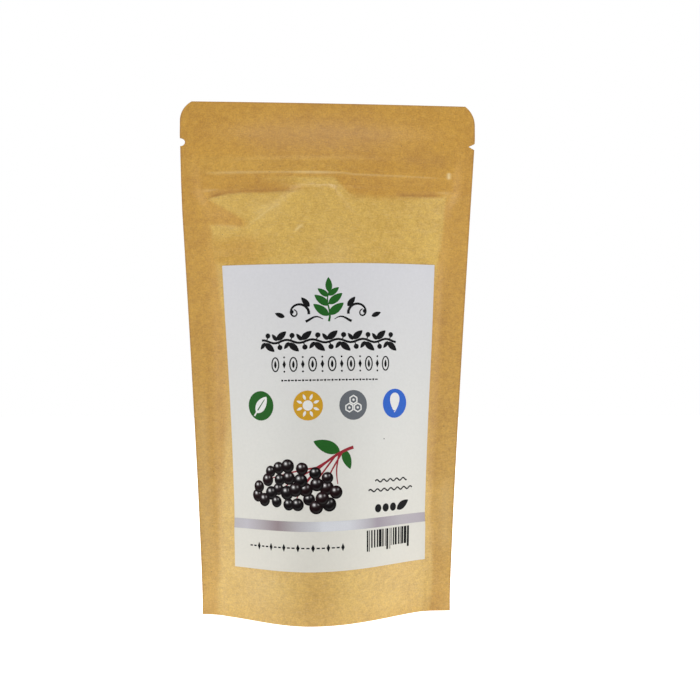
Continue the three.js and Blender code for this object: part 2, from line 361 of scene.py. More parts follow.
kraft = {
    "dark": (0.58, 0.337, 0.055), "light": (0.83, 0.557, 0.120), "toneStops": (0.42, 0.72),
    "noises": ((55, 3.0, 0.5), (420, 4.0, 0.66), (1500, 2.0, 0.6)),     # scale, detail and roughness
    "weights": (0.24, 0.38, 0.5),
    # the seal tint deepens sealed kraft and also paints shade beside the seals and over the head
    "sealAndShadeTint": (0.84, 0.68, 0.31, 1),              # pressed kraft is this much deeper in tone
    # tints for painted shade in and beside creases and for painted highlights along ridges and lit places
    "paintedShadeTint": (0.54, 0.40, 0.12, 1), "paintedHighlightTint": (0.98, 0.80, 0.42, 1),
    "fleck": 250, "fleckSize": (0.045, 0.075), "fleckShare": 0.6,
    "fleckTone": 0.6, "fleckColor": (0.16, 0.075, 0.02, 1),
    "fibreAngles": (12, 68, -37), "fibreScale": (48, 792, 1), "fibreStep": (3.7, 1.3),
    "fibreTints": ((0.80, 0.60, 0.30, 1), (0.36, 0.18, 0.05, 1), (0.80, 0.60, 0.30, 1)),
    "fibreStops": (0.62, 0.7), "fibreTone": 0.3, "fibreLift": 0.45,
    "roughness": (0.26, 0.38), "pressedRoughness": 0.12, "foldRoughness": 0.5,
    "bump": (0.3, 0.00008),
}


# Fibres cross the sheet in three directions; one lot is dark and lies among the light ones
def addFibres(tree, color, height):
    sheetPlace = node(tree, "UVMap", uv_map="UVMap").outputs["UV"]
    for number, (angle, tint) in enumerate(zip(kraft["fibreAngles"], kraft["fibreTints"])):
        shift = (number * kraft["fibreStep"][0], number * kraft["fibreStep"][1], 0)
        turned = node(tree, "Mapping", {"Vector": sheetPlace, "Rotation": (0, 0, radians(angle)),
                                        "Scale": kraft["fibreScale"], "Location": shift})
        streak = grainAt(tree, turned.outputs[0], 1, 1.0)
        thread = ramp(tree, streak, list(zip(kraft["fibreStops"], (0.0, 1.0))))
        color = blendColors(tree, "MIX", calc(tree, "MULTIPLY", thread, kraft["fibreTone"]), color, tint)
        height = addParts(tree, height, [(thread, kraft["fibreLift"])])
    return color, height


def addFlecks(tree, place, color):
    cell = node(tree, "TexVoronoi", {"Vector": place, "Scale": kraft["fleck"]})
    near = ramp(tree, cell.outputs["Distance"], list(zip(kraft["fleckSize"], (1.0, 0.0))))
    lot = node(tree, "SeparateColor", {"Color": cell.outputs["Color"]}).outputs[0]
    chosen = calc(tree, "GREATER_THAN", lot, kraft["fleckShare"])
    faint = calc(tree, "MULTIPLY", calc(tree, "MULTIPLY", near, chosen), kraft["fleckTone"])
    return blendColors(tree, "MIX", faint, color, kraft["fleckColor"])


# Mottled kraft; a seal value deepens and dulls it, partly the sealed film's own tone and partly painted
# shade, and a crease value paints highlights along ridges and shade in and beside creases, darkens the cut
# edges and dulls the shaded places
def makeKraft(name, tone=1.0):
    material, tree, shader = newMaterial(name, Specular_IOR_Level=1.0)
    place = objectPlace(tree)
    noises = [grainAt(tree, place, *values) for values in kraft["noises"]]
    total = addParts(tree, 0.0, zip(noises, kraft["weights"]))
    tones = [tuple(value * tone for value in kraft[key]) for key in ("dark", "light")]
    color, height = addFibres(tree, ramp(tree, total, list(zip(kraft["toneStops"], tones))), noises[2])
    sealAndShade = node(tree, "Attribute", attribute_name="sealAndShade").outputs["Fac"]
    fold = node(tree, "Attribute", attribute_name="fold").outputs["Fac"]
    paintedHighlight = calc(tree, "MAXIMUM", fold, 0.0)
    paintedShadeAndEdge = calc(tree, "MULTIPLY", fold, -1.0)
    color = blendColors(tree, "MULTIPLY", sealAndShade, color, kraft["sealAndShadeTint"])
    color = blendColors(tree, "MIX", paintedHighlight, color, kraft["paintedHighlightTint"])
    color = blendColors(tree, "MULTIPLY", paintedShadeAndEdge, color, kraft["paintedShadeTint"])
    shadeAndEdgeMask = calc(tree, "MAXIMUM", paintedShadeAndEdge, 0.0)
    duller = [(shadeAndEdgeMask, kraft["foldRoughness"]), (sealAndShade, kraft["pressedRoughness"])]
    rough = addParts(tree, between(tree, noises[1], *kraft["roughness"]), duller)
    feed(tree, shader, Base_Color=addFlecks(tree, place, color), Roughness=rough)
    addBump(tree, shader, height, *kraft["bump"])
    return material


# The cut edge of the laminate: darker brown, with the plies' light line showing here and there
def makeCutEdge(name):
    material, tree, shader = newMaterial(name, Roughness=0.7, Specular_IOR_Level=0.3)
    ply = grainAt(tree, objectPlace(tree), 900, 3.0)
    feed(tree, shader, Base_Color=ramp(tree, ply, [(0.35, (0.21, 0.115, 0.04)), (0.7, (0.42, 0.26, 0.10))]))
    addBump(tree, shader, ply, 0.3, 0.00005)
    return material


def makeGrained(name, color, roughness, scale, spread=0.12, bumpSize=0.00004, **values):
    material, tree, shader = newMaterial(name, **values)
    grain = grainAt(tree, objectPlace(tree), scale, 4.0, 0.6)
    low = tuple(value * (1 - spread) for value in color)
    high = tuple(min(value * (1 + spread), 1) for value in color)
    feed(tree, shader, Base_Color=ramp(tree, grain, [(0.3, low), (0.7, high)]),
         Roughness=between(tree, grain, roughness - 0.06, roughness + 0.06))
    addBump(tree, shader, grain, 0.25, bumpSize)
    return material


kraftSkin = makeKraft("kraft skin")
kraftGusset = makeKraft("kraft gusset", 0.94)
cutEdge = makeCutEdge("laminate cut edge")
print("kraft materials made")

# Camera, floor and light
view = {"place": (-0.01886, -0.42477, 0.09502), "pitch": 0.0407, "turn": -0.0673, "lens": 50.54}
studio = {
    "floorSize": 6, "floorColor": (0.86, 0.86, 0.86, 1), "floorSeen": 1.0, "floorGlow": 0.66,
    "dullGlow": 0.09, "dullHalf": (0.03, 0.16), "dullFront": (-0.07, -0.02),    # a strip before the pouch
    "ambient": 0.353, "backdrop": 1.0,
    "lamps": [   # name, place, aimed at, size in x and y, watts
        ("left softbox", (-0.74, -0.12, 0.22), (0, 0, 0.09), 0.5, 0.5, 0.58),
        ("right softbox", (0.74, -0.12, 0.22), (0, 0, 0.09), 0.5, 0.5, 0.85),
        ("overhead", (0.0, 0.0, 1.0), (0, 0, 0.0), 0.9, 0.9, 7.4),
        ("back softbox", (0.15, 0.75, 0.55), (0, 0, 0.10), 0.8, 0.6, 1.3),
    ],
}


def placeInScene(name, data, place):
    thing = bpy.data.objects.new(name, data)
    bpy.context.scene.collection.objects.link(thing)
    thing.location = place
    return thing


def makeCamera():
    camera = placeInScene("camera", bpy.data.cameras.new("camera"), view["place"])
    camera.rotation_euler = (pi / 2 + view["pitch"], 0, view["turn"])
    camera.data.lens = view["lens"]
    camera.data.sensor_width = 36
    camera.data.clip_start = 0.01
    bpy.context.scene.camera = camera


def aimedLamp(name, place, target, sizeX, sizeY, watts):
    data = bpy.data.lights.new(name, "AREA")
    data.shape = "RECTANGLE"
    data.size, data.size_y, data.energy = sizeX, sizeY, watts
    lamp = placeInScene(name, data, place)
    lamp.rotation_euler = (Vector(target) - Vector(place)).to_track_quat("-Z", "Y").to_euler()


# The floor looks white to the camera and glows less on the things above it
def makeFloor():
    deselectAll()
    bpy.ops.mesh.primitive_plane_add(size=studio["floorSize"])
    floor = namePiece("floor")
    material, tree, shader = newMaterial("pale floor", Base_Color=studio["floorColor"], Roughness=0.8,
                                         Emission_Color=(1, 1, 1, 1), Specular_IOR_Level=0.1)
    place = node(tree, "SeparateXYZ", {"Vector": objectPlace(tree)})
    aside = calc(tree, "ABSOLUTE", place.outputs[0])
    beside = between(tree, aside, 0.0, 1.0, *studio["dullHalf"])
    before = between(tree, place.outputs[1], 0.0, 1.0, *studio["dullFront"])
    lit = calc(tree, "MAXIMUM", beside, before)
    glow = between(tree, lit, studio["dullGlow"], studio["floorGlow"])
    seen = node(tree, "LightPath").outputs["Is Camera Ray"]
    feed(tree, shader, Emission_Strength=between(tree, seen, glow, studio["floorSeen"]))
    floor.data.materials.append(material)


def makeSky():
    world = bpy.context.scene.world or bpy.data.worlds.new("studio")
    bpy.context.scene.world = world
    world.use_nodes = True
    tree = world.node_tree
    background = tree.nodes["Background"]
    background.inputs["Color"].default_value = (1, 1, 1, 1)
    seen = node(tree, "LightPath").outputs["Is Camera Ray"]
    plug(tree, background.inputs["Strength"], between(tree, seen, studio["ambient"], studio["backdrop"]))
    bpy.context.scene.view_settings.view_transform = "Standard"


makeCamera()
for lamp in studio["lamps"]:
    aimedLamp(*lamp)
makeFloor()
makeSky()
print("studio set")

# Panels: a fine sheet blank, formed over the filled pouch, then given its thickness.
# Where a value holds two rows, the first are heights or places and the second what holds there.
panel = {
    "bandStart": ((0, 150, 165, 174, 181, 220), (0.79, 0.79, 0.80, 0.80, 0.845, 0.845)),
    "bandStep": ((0, 60, 165, 176, 182), (0.06, 0.09, 0.085, 0.09, 0.125)),     # on to the flat seal
    "bandFoot": (22, 60),                       # below this the opened base bends the seals too
    "sealHalf": (0.42, 0.22), "sealFade": (35, 38),     # half a seal's thickness, with and without gusset
    "ridge": (0.02, 0.012, 0.008), "ridgeSpan": (20, 60, 165, 178),
    "topFlat": (203, 212),
    "arcStep": 0.1, "arcBlur": (-0.5, 0.7),     # the bottom seal lies this much lower than the belly
    "roofLine": ((169, 181.3, 189.8, 195.5, 209), (0, 1.1, 1.1, 0.5, 0)),       # kraft over the zip strips
    "roofEnds": (0.84, 0.97),
    "edgeIn": 0.04, "lowest": 0.01, "highest": 219.9, "uvWidth": 160,
    "cornerRadius": (9.5, 10.4), "cornerDrop": 8.5,     # left, right
    "leftTrim": ((172, 185.5, 192, 203, 220), (0, 0.31, 0.56, 0.98, 0.98)),
    "notchHeight": 202, "notchDepth": (2.1, 2.7), "notchHalf": (1.75, 1.35),
    "rimTone": 0.5, "rimIn": (0.87, 0.99), "rimTop": (219.2, 219.9),        # the cut edges are darker
}

# The filling pushes the sheets out unevenly: each wave's length across and up, height and noise level
buckles = {
    "waves": ((26, 34, 0.42, 0), (9, 11, 0.12, 7)), "seeds": {True: 3, False: 11}, "rest": 0.2,
    "foot": (4, 30), "head": (150, 200), "headLoss": 0.55,
}

# The tent under the middle of the zip, where the filled belly pulls the tape's lower edge forward
tent = {
    "height": {True: 0.85, False: 0.68}, "level": 182, "top": 186.6, "fade": (4, 34),
    "left": (-17, 1.15, 0, 7), "right": (3.7, 0.65, -3.2, 0),    # end at that level, lean below it, soft edge
}

# Creases as [points across and up in mm], height outwards, reach below and above, taper at the line's ends
frontCreases = [
    ([(-54, 187.8), (-19, 188), (5, 188), (11, 187.3), (52, 186.8)], 0.1, 0.5, 0.4, 0.1),
    ([(-22, 187.9), (0, 188), (8, 187.7)], 0.1, 0.45, 0.4, 0.4),
    ([(-44, 194.2), (-22, 194), (14, 194.3), (46, 194)], 0.14, 1.6, 0.5, 0.3),
    ([(52.7, 186.2), (52.8, 190.4)], 0.34, 0.5, 0.5, 0.3),
    ([(-53.7, 177.6), (-46, 178.4), (-31.4, 179.6), (-16.5, 180.2)], -0.16, 3.6, 0.9, 0.2),
    ([(4.5, 180.4), (9.2, 179.2), (22.6, 178.2), (35.4, 178), (51.5, 177.4)], -0.12, 4.4, 1.2, 0.16),
    ([(-50.5, 177.5), (-43, 171.5), (-34.5, 165.6)], 0.3, 5, 3.6, 0.3),
    ([(-51.5, 166), (-44, 165), (-33.5, 163.3)], -0.36, 7, 4, 0.35),
    ([(-36.5, 162.8), (-31, 167.4), (-25.5, 171.6), (-19, 174.8), (-13, 176.8)], 0.5, 8, 3.6, 0.3),
    ([(1, 186.4), (3.7, 182), (8.3, 173.9), (13.2, 167.4)], 0.2, 1.6, 2.8, 0.25),
    ([(-15.6, 160.9), (-12.6, 164), (-9.8, 165.8)], 0.26, 1, 0.8, 0.4),
    ([(33, 164.6), (44, 163.4), (51.4, 165)], -0.22, 2.2, 2.4, 0.4),
    ([(38, 172.5), (46, 168), (51.4, 166.4)], 0.12, 2.6, 2.6, 0.4),
    ([(18, 158), (27, 163.5), (37, 165)], 0.16, 2.2, 2.2, 0.45),
    ([(-50, 158), (-44, 155), (-40, 150)], 0.18, 2, 2.4, 0.45),
    ([(-47.5, 46), (-44, 24), (-39.5, 9)], 0.2, 2.4, 2.4, 0.45),
    ([(43.8, 50), (42.2, 26), (39.5, 8)], 0.22, 2, 2.6, 0.45),
]
backCreases = [
    ([(-52, 188), (-15, 188.2), (17, 188.1), (52, 188)], 0.44, 2, 0.55, 0.1),
    ([(-52, 194), (-10, 194.3), (30, 194), (52, 194)], 0.14, 1.6, 0.5, 0.3),
    ([(-52.5, 178.6), (-38, 178.9), (-20, 179.6), (-6, 180.2)], -0.16, 3.6, 0.9, 0.2),
    ([(12, 179.6), (24, 179.2), (38, 178.9), (52, 178.2)], -0.16, 3.6, 0.9, 0.2),
    ([(-10, 181), (-17, 173), (-24, 166), (-35, 160)], 0.34, 1.6, 1.8, 0.3),
    ([(13, 181.2), (20, 172), (26, 163), (28, 152)], 0.36, 1.6, 1.8, 0.3),
    ([(50.5, 176), (41, 168), (31, 163)], 0.4, 4, 4.5, 0.35),
    ([(-51, 171), (-42, 163), (-36, 152)], 0.36, 3.6, 3.6, 0.35),
    ([(-51, 160), (-41, 156), (-30, 157)], -0.24, 3, 3, 0.4),
    ([(51, 158), (43, 154), (35, 155)], -0.26, 3, 3, 0.4),
    ([(-46.5, 60), (-43.5, 32), (-38, 12)], 0.22, 3, 3, 0.45),
    ([(46.5, 64), (43.5, 34), (37, 12)], 0.22, 3, 3, 0.45),
    ([(-22, 133), (-9, 139), (6, 138)], 0.18, 3, 3, 0.5),
    ([(9, 118), (22, 124), (36, 121)], -0.2, 3.6, 3.6, 0.5),
]

# Painted light along the folds, in the same way: above 0 a painted highlight, below 0 painted shade in or
# beside a crease
frontPaintedLight = [
    ([(-54, 188), (-22, 188.2), (6, 188.2), (11, 187.5), (52, 187)], 0.24, 0.3, 0.3, 0.1),
    ([(-20, 188.2), (-4, 188.2), (7, 188.1)], 0.26, 0.3, 0.3, 0.45),
    ([(-48, 194.2), (-22, 194.1), (18, 194)], 0.12, 0.4, 0.4, 0.3),
    ([(30, 194.6), (40, 194.8), (56, 194.4)], -0.27, 3, 2.4, 0.25),
    ([(18, 183.6), (34, 183.9), (52, 183.6)], -0.13, 2.4, 2.4, 0.3),
    ([(-44, 204), (-10, 205), (36, 204)], -0.26, 8, 7, 0.3),
    ([(-34, 8), (-26, 14), (-20, 20)], 0.07, 7, 7, 0.2),
    ([(-10, 154), (14, 154)], 0.12, 7, 6, 0.4),
    ([(-46.8, 100), (-45.6, 72), (-44.6, 52)], -0.2, 2.6, 2.6, 0.2),
    ([(50, 152), (51.1, 138), (49, 117), (47.1, 97), (46, 72), (45, 50)], -0.26, 2.6, 2.6, 0.12),
    ([(-51.5, 18), (-52, 50), (-54, 100)], 0.11, 3.2, 3.2, 0.2),
    ([(50.6, 22), (51.4, 62)], 0.13, 3.2, 3.2, 0.3),
    ([(-55, 180.3), (-50, 180.5), (-45, 180.9)], 0.18, 0.35, 0.35, 0.3),
    ([(44, 180.4), (50, 180.6), (55, 180.8)], 0.18, 0.6, 0.6, 0.4),
    ([(-53, 173.6), (-51.8, 176.4), (-49, 178), (-46.5, 178.6), (-42, 179.3), (-33.5, 180), (-26.5, 179.9),
      (-7, 179.6)], -0.5, 0.5, 1, 0.24),
    ([(-51.6, 176.6), (-48.8, 178.1), (-44, 179)], -0.4, 0.5, 0.7, 0.4),
    ([(26, 178.8), (36, 178.9), (45, 179.1), (52, 179.6)], -0.6, 0.5, 0.8, 0.3),
    ([(-36.5, 163), (-31, 167.4), (-25.5, 171.6), (-19, 174.8)], 0.2, 0.3, 0.3, 0.35),
    ([(3.8, 180.6), (8.3, 173.9), (12.9, 167.8)], 0.14, 0.3, 0.3, 0.35),
    ([(-34, 168.5), (-27, 172.8), (-17, 175.6)], 0.13, 4, 3.5, 0.3),
    ([(47.5, 177), (48.5, 168), (48.5, 158)], -0.1, 3, 3, 0.2),
    ([(42, 0.5), (46, 3), (51, 8)], -0.22, 3.4, 4, 0.15),
    ([(-15.2, 161.4), (-12.6, 164), (-10.1, 165.7)], 0.4, 0.35, 0.35, 0.4),
    ([(-50.5, 165.6), (-44, 165), (-35.5, 163.7)], 0.1, 1, 0.4, 0.4),
    ([(52.6, 186.4), (52.7, 190)], 0.75, 0.5, 0.5, 0.3),
    ([(36, 164.3), (44, 163.5), (51, 164.6)], 0.12, 0.9, 0.5, 0.4),
]
backPaintedLight = [
    ([(-52, 187.2), (-15, 187.4), (17, 187.3), (52, 187.2)], 0.5, 0.35, 0.35, 0.3),
    ([(-52.5, 178.9), (-38, 179.1), (-20, 179.9), (-6, 180.4)], -0.6, 0.5, 0.9, 0.2),
    ([(12, 179.9), (24, 179.4), (38, 179.1), (52, 178.4)], -0.6, 0.5, 0.9, 0.2),
    ([(-10, 181), (-17, 173), (-24, 166), (-35, 160)], 0.35, 0.4, 0.4, 0.35),
    ([(13, 181.2), (20, 172), (26, 163), (28, 152)], 0.35, 0.4, 0.4, 0.35),
    ([(-52.6, 186.4), (-52.7, 190)], 0.6, 0.5, 0.5, 0.3),
]


# The nearest place of a line to each point: how far off, the share along, and how far to the upper side
def nearestOn(line, x, z):
    line = np.array(line, float)
    lengths = np.hypot(*np.diff(line, axis=0).T)
    marks = np.concatenate([[0], np.cumsum(lengths)]) / lengths.sum()
    nearest, along, side = np.full_like(x, 1e9), np.zeros_like(x), np.zeros_like(x)
    for k in range(len(lengths)):
        ax, az = line[k]
        dx, dz = line[k + 1] - line[k]
        share = np.clip(((x - ax) * dx + (z - az) * dz) / (dx * dx + dz * dz), 0, 1)
        offX, offZ = x - ax - share * dx, z - az - share * dz
        upright = abs(dx) < abs(dz) * 0.2
        upper = offX if upright else offZ * abs(dx) - offX * np.sign(dx) * dz
        distance = np.hypot(offX, offZ)
        closer = distance < nearest
        nearest = np.where(closer, distance, nearest)
        along = np.where(closer, mix(marks[k], marks[k + 1], share), along)
        side = np.where(closer, upper, side)
    return nearest, along, side


# A crease stands sharp on its line and fades out to both sides
def creaseRelief(x, z, creases):
    relief = np.zeros_like(x)
    sharpness = 0.2
    for line, height, below, above, taper in creases:
        nearest, along, side = nearestOn(line, x, z)
        reach = np.where(side > 0, above, below)
        strength = height * window(along, 0, taper, 1 - taper, 1)
        relief += strength * np.exp(-(np.sqrt(nearest ** 2 + sharpness ** 2) - sharpness) / reach)
    return relief


def tentRelief(x, z, front):
    x = x if front else -x
    depth = tent["level"] - z
    below = np.maximum(depth, 0)
    leftEnd, leftLean, *leftSoft = tent["left"]
    rightEnd, rightLean, *rightSoft = tent["right"]
    height = tent["height"][front] * (1 - smooth(z, tent["level"], tent["top"]))
    height *= 1 - smooth(below, *tent["fade"])
    height *= smooth(x - leftEnd + below * leftLean, *leftSoft)
    return height * (1 - smooth(x - rightEnd - depth * rightLean, *rightSoft))


# In place of the solid's rounded rib the kraft lies over the zip strips as a low roof
def roofRelief(u, z):
    ends = 1 - smooth(np.abs(u), *panel["roofEnds"])
    return ends * np.interp(z, *panel["roofLine"]) - zipPack(u, z)


def buckleRelief(u, z, front):
    x = u * halfWidth(z)
    wave = np.zeros_like(x)
    for across, up, height, level in buckles["waves"]:
        level += buckles["seeds"][front]
        wave += [height * noise.noise(Vector((px / across, pz / up, level))) for px, pz in zip(x, z)]
    quiet = 1 - smooth(z, *buckles["head"]) * buckles["headLoss"]
    return (wave - buckles["rest"]) * smooth(z, *buckles["foot"]) * quiet


def gussetArc(u):
    share = np.minimum(np.abs(u) / pouch["sealEdge"], 1)
    return mix(*pouch["gussetArc"], share ** 2)


def sealHalf(z):
    return mix(*panel["sealHalf"], smooth(z, *panel["sealFade"]))


# Distance of a made panel's outer face from the middle surface
def skinOut(u, z, front):
    x = u * halfWidth(z)
    relief = creaseRelief(x, z, frontCreases if front else backCreases)
    relief += tentRelief(x, z, front) + buckleRelief(u, z, front) + roofRelief(u, z)
    relief -= panel["arcStep"] * (1 - smooth(z - gussetArc(u), *panel["arcBlur"]))
    if front:
        pad = underLabel(u, z)
        relief = relief * (1 - pad) + label["pad"] * pad
    # the side seals are pressed flat, and the top seal too
    keep = 1 - smooth(z, *panel["bandFoot"])
    band = sealHalf(z) + fullness(z) * bell(u, z, pouch["bellies"][front]) * keep
    start = np.interp(z, *panel["bandStart"])
    flat = start + np.interp(z, *panel["bandStep"])
    ridgeHeight, ridgeIn, ridgeReach = panel["ridge"]
    ridge = ridgeHeight * hump(np.abs(u), flat + ridgeIn, ridgeReach) * window(z, *panel["ridgeSpan"])
    out = mix(cadOuter(u, z, front) + relief, band + ridge, smooth(np.abs(u), start, flat))
    return mix(out, sealHalf(z), smooth(z, *panel["topFlat"]))


# Sealed kraft and painted shade share one deeper tone: the side bands and all from the zip's tape upwards,
# partly the sealed film's own tone and partly painted shade; beside the side seals it reaches onto the
# belly's flanks as painted shade
sealAndShadeForm = {
    "heights": (0, 12, 19, 32, 45, 58, 71, 84, 97, 122, 135, 150, 165, 179, 181.5, 220),
    "left": (0.85, 0.85, 0.825, 0.81, 0.8, 0.785, 0.75, 0.71, 0.7, 0.71, 0.735, 0.755, 0.79, 0.8, 0.83,
             0.845),
    "right": (0.8, 0.825, 0.82, 0.79, 0.77, 0.75, 0.735, 0.725, 0.715, 0.715, 0.73, 0.755, 0.79, 0.8, 0.83,
              0.845),
    "step": ((0, 100, 150, 165, 180), (0.05, 0.06, 0.05, 0.035, 0.022)),
    "depth": ((0, 50, 120, 180), (0.54, 0.60, 0.86, 0.90)),
    # the line where the belly leaves the zip's tape, across and up, and how soft it is
    "tapeAcross": (-54, -52.6, -50, -47.4, -44.8, -38, -26.5, -20, -14, -3, 5, 8, 10, 14, 23, 31, 41, 49, 52),
    "tapeFoot": (175.5, 175.9, 177.3, 178.2, 178.6, 179.2, 179.2, 180, 180.4, 180.6, 180.3, 179.6, 178.9,
                 177.9, 177, 177.6, 178.5, 178.6, 179.4),
    "tapeBlur": ((-20, 4, 12, 34, 44), (0.8, 0.8, 2.6, 2.4, 1.0)),
    # a painted highlight lifts that deeper tone from the patch above that line where the tent pulls: where it
    # starts, is whole and ends, and its leans
    "patchLevel": 184.6, "patchTop": (185.2, 187.4),
    "patchLeft": (-32, -7, 2.9, 1.7), "patchRight": (2.9, 5.2, 0.8),
    # beside the zip's end a small wedge of painted shade reaches in under the diagonal crease
    "wedge": {"depth": 0.95, "across": (-51.5, -33.4), "top": (177.0, 166.6), "foot": (166, 164.8),
              "topBlur": (-0.8, 1.4), "footBlur": (-1.2, 0.8), "end": (-38, -33)},
    # painted shade above the label's corner, a painted highlight between the zip's two lines, painted shade
    # at the foot's middle
    "shadeAboveLabel": (0.62, (144, 151, 157, 163), (-34, -22)),
    "pale": (0.2, (186.5, 188, 194, 197), (-8, 26)),
    "centre": (0.25, -6.5, 9, (20, 30)),
}


def tentHighlight(x, z):
    below = sealAndShadeForm["patchLevel"] - z
    start, whole, leanStart, leanWhole = sealAndShadeForm["patchLeft"]
    keep, end, lean = sealAndShadeForm["patchRight"]
    grown = smooth(x - start - leanStart * below, 0, whole - start + (leanWhole - leanStart) * below)
    return grown * (1 - smooth(x - lean * below, keep, end)) * (1 - smooth(z, *sealAndShadeForm["patchTop"]))


def wedgeShade(x, z):
    wedge = sealAndShadeForm["wedge"]
    top, foot = (np.interp(x, wedge["across"], wedge[key]) for key in ("top", "foot"))
    inside = smooth(top - z, *wedge["topBlur"]) * smooth(z - foot, *wedge["footBlur"])
    return wedge["depth"] * inside * (1 - smooth(x, *wedge["end"]))


def paintedPatch(x, z, depth, heights, end):
    return depth * window(z, *heights) * (1 - smooth(x, *end))


def sealAndShadeTone(u, z, front):
    left, right = (np.interp(z, sealAndShadeForm["heights"], sealAndShadeForm[key]) for key in ("left", "right"))
    start = np.where((u < 0) == front, left, right)
    step, depth = (np.interp(z, *sealAndShadeForm[key]) for key in ("step", "depth"))
    side = smooth(np.abs(u), start, start + step) * depth
    x = u * halfWidth(z) * (1 if front else -1)
    foot = np.interp(x, sealAndShadeForm["tapeAcross"], sealAndShadeForm["tapeFoot"])
    blur = np.interp(x, *sealAndShadeForm["tapeBlur"])
    head = smooth(z - foot, -blur, blur) * (1 - tentHighlight(x, z)) * (1 - paintedPatch(x, z, *sealAndShadeForm["pale"]))
    # the seals' tone with painted shade on the flanks beside them, the head's tone, and the painted shade of
    # the wedge, the label's corner and the foot's middle
    tones = [side, head, wedgeShade(x, z)]
    if front:
        depth, centre, reach, top = sealAndShadeForm["centre"]
        tones += [paintedPatch(x, z, *sealAndShadeForm["shadeAboveLabel"]), depth * hump(x, centre, reach) * (1 - smooth(z, *top))]
    return np.max(tones, axis=0)


# Painted highlights and painted shade along and beside the creases, with the cut edges darker
def paintedCreaseLight(u, z, front, rim):
    tone = creaseRelief(u * halfWidth(z), z, frontPaintedLight if front else backPaintedLight)
    return np.clip(tone - panel["rimTone"] * rim, -1, 1)


# Where the die cut leaves the edge: rounded top corners and a tear notch in each side, one of them pointed
def edgeAt(z, side):
    pick = lambda name: np.where(side > 0, panel[name][1], panel[name][0])
    radius, drop = pick("cornerRadius"), panel["cornerDrop"]
    rise = np.clip((z - (pouch["height"] - drop)) / radius, 0, 1)
    corner = radius * (1 - np.sqrt(1 - rise ** 2))
    off = np.clip(np.abs(z - panel["notchHeight"]) / pick("notchHalf"), 0, 1)
    nick = pick("notchDepth") * np.where(side > 0, 1 - off, np.sqrt(1 - off ** 2))
    trim = np.where(side > 0, 0, np.interp(z, *panel["leftTrim"]))
    return halfWidth(z) - panel["edgeIn"] - corner - nick - trim


# The blank's columns and rows lie closer where the sheet creases and where the die cuts it
notchRows = np.array([0.35, 0.75, 1.15, 1.45, 1.65, 1.73, 1.75])
panelColumns = stations((-1, -0.993, -0.985, -0.89, -0.785, 0.785, 0.89, 0.985, 0.993, 1),
                        (1, 1, 6, 15, 120, 15, 6, 1, 1))
panelRows = np.concatenate([
    stations((panel["lowest"], 30, 150, 176, 192, 200.2), (24, 62, 42, 46, 9))[:-1],
    panel["notchHeight"] + np.concatenate([-notchRows[::-1], [0], notchRows]),
    stations((203.9, 209, 211.4, 219.2, 219.6, panel["highest"]), (5, 6, 12, 1, 1))])


def makePanel(name, front, replaced):
    piece, column, row = addBlank(name, len(panelColumns), len(panelRows))
    u, z = panelColumns[column] * (1 if front else -1), panelRows[row]
    seal = pouch["sealEdge"]
    inBand = np.clip((np.abs(u) - seal) / (1 - seal), 0, 1)
    x = mix(np.minimum(np.abs(u), seal) * halfWidth(z), edgeAt(z, np.sign(u)), inBand) * np.sign(u)
    rim = np.maximum(smooth(inBand, *panel["rimIn"]), smooth(z, *panel["rimTop"]))
    u = x / halfWidth(z)                    # where the die cut draws the sheet in, it still follows the pouch
    out = skinOut(u, z, front)
    setCoords(piece, x, middle(u, z) + (-out if front else out), z, mm)
    setUv(piece, arcAt(u, z, front) / panel["uvWidth"] + 0.5, z / pouch["height"])
    # each vertex keeps its seal tone with painted shade, and its painted highlights, painted crease shade and
    # darker cut edges
    for key, tone in (("sealAndShade", sealAndShadeTone(u, z, front)), ("fold", paintedCreaseLight(u, z, front, rim))):
        layer = piece.data.attributes.new(key, "FLOAT", "POINT")
        layer.data.foreach_set("value", tone.astype(np.float32))
    thicken(piece, pouch["paper"], -1, kraftSkin, cutEdge)
    shadeSmooth()
    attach(piece, "root")
    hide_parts(replaced)
    print(name, "formed with", len(piece.data.polygons), "faces")


makePanel("kraft_front", True, "front_panel")
makePanel("kraft_back", False, "back_panel")

# Bottom gusset: sealed up to its arc, then folded up between the panels
gusset = {
    "paper": 0.18, "hem": 0.3, "play": 0.02, "edgeIn": 0.15, "leastFold": 0.05, "softening": 5,
    "sealSteps": 14, "freeSteps": 26, "columns": ((-1, -0.84, 0.84, 1), (6, 76, 6)),
}


# The sheet's line across each section: up the front seal, up to the crest of the fold, and down the same way
def gussetSections(u):
    arc = gussetArc(u)
    away = lambda z, front: skinOut(u, z, front) - pouch["paper"] - gusset["play"]
    sides = [lambda z: middle(u, z) - away(z, True), lambda z: middle(u, z) + away(z, False)]
    halfDepth = (sides[1](arc) - sides[0](arc)) / 2
    leg = pouch["gussetLeg"] - arc
    fold = arc + np.sqrt(np.maximum(leg ** 2 - halfDepth ** 2, gusset["leastFold"]))
    crest = middle(u, fold)
    lines = []
    for side in sides:
        sealed = [mix(gusset["hem"], arc, k / gusset["sealSteps"]) for k in range(gusset["sealSteps"] + 1)]
        shares = [k / gusset["freeSteps"] for k in range(1, gusset["freeSteps"] + 1)]
        line = [(side(z), z) for z in sealed]
        lines.append(line + [(mix(side(arc), crest, share), mix(arc, fold, share)) for share in shares])
    y, z = (np.array(rows) for rows in zip(*(lines[0] + lines[1][-2::-1])))
    for _ in range(gusset["softening"]):
        for rows in (y, z):
            rows[1:-1] = (rows[:-2] + 2 * rows[1:-1] + rows[2:]) / 4
    return y, z


